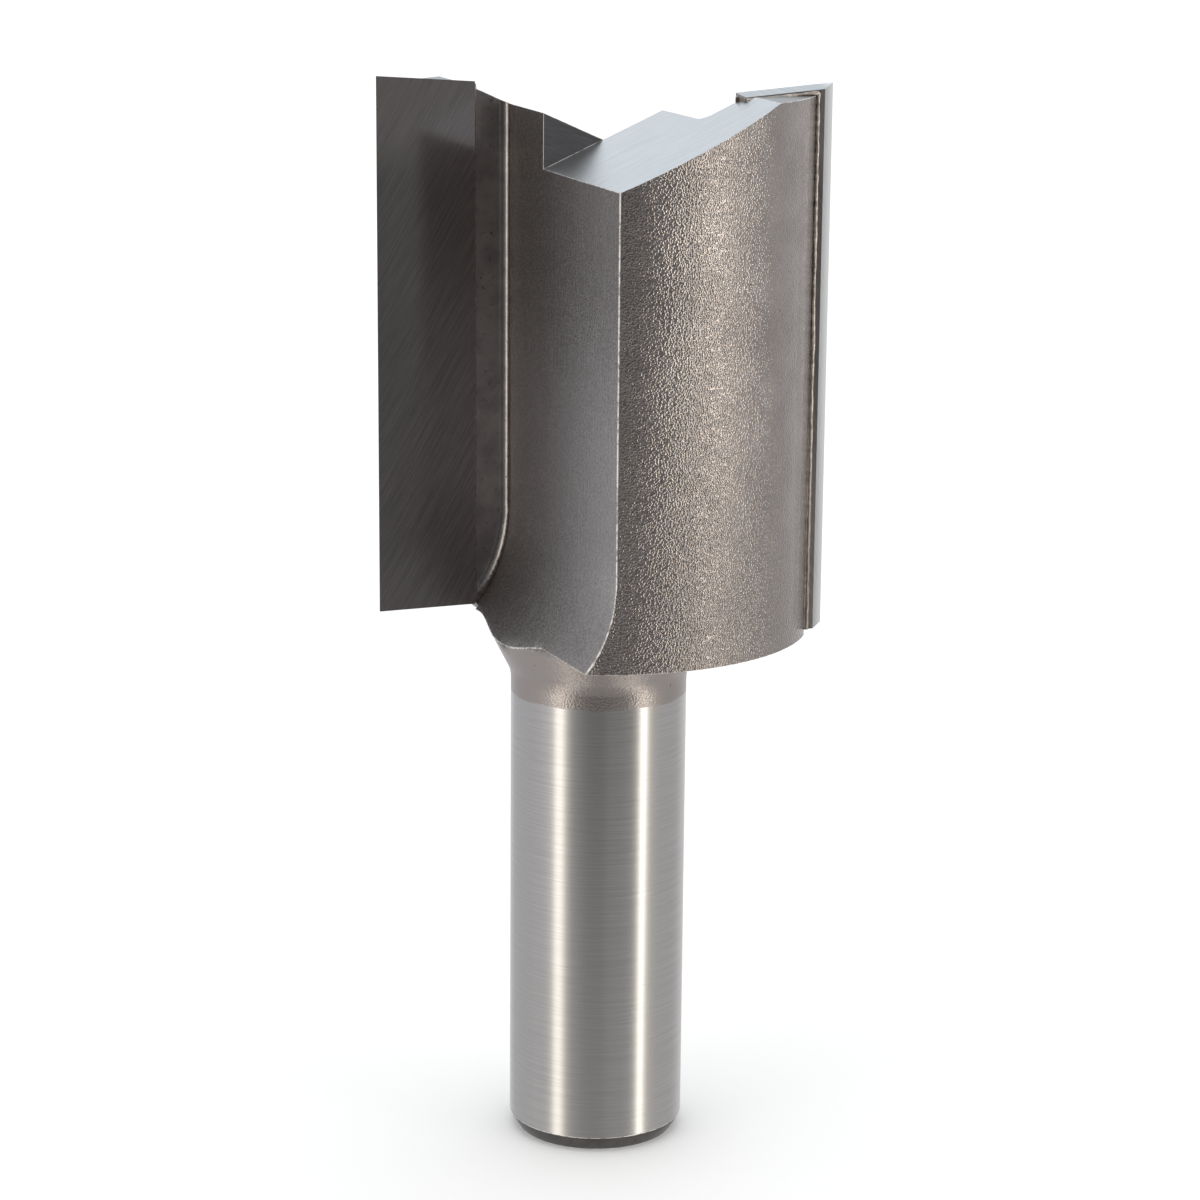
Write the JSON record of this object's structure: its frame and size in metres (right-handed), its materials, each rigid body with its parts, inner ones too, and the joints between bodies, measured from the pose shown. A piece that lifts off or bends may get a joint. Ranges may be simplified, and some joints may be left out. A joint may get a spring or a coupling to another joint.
{
  "type": "router bit",
  "caption": "Straight router bit: turned steel shank and fluted head, with flat carbide cutting tips brazed along the cutting edges.",
  "frame": {"origin": "centre of the shank's end face, on which the bit stands", "axes": "+Z along the bit's axis from the shank to the cutting end; +X through the cutting edge of tip 1; +Y the way that edge moves when it cuts"},
  "size_m": [0.0318, 0.0298, 0.0771],
  "materials": {
    "tool_steel": "ground shank, blasted head with a warm grey skin, milled flutes",
    "tungsten_carbide": "finely ground",
    "braze_alloy": "as flowed, slightly lumpy"
  },
  "bodies": {
    "root": {"steel_body": "tool_steel", "carbide_tip_1": "tungsten_carbide", "carbide_tip_2": "tungsten_carbide", "braze_joint_1": "braze_alloy", "braze_joint_2": "braze_alloy"}
  },
  "joints": []
}
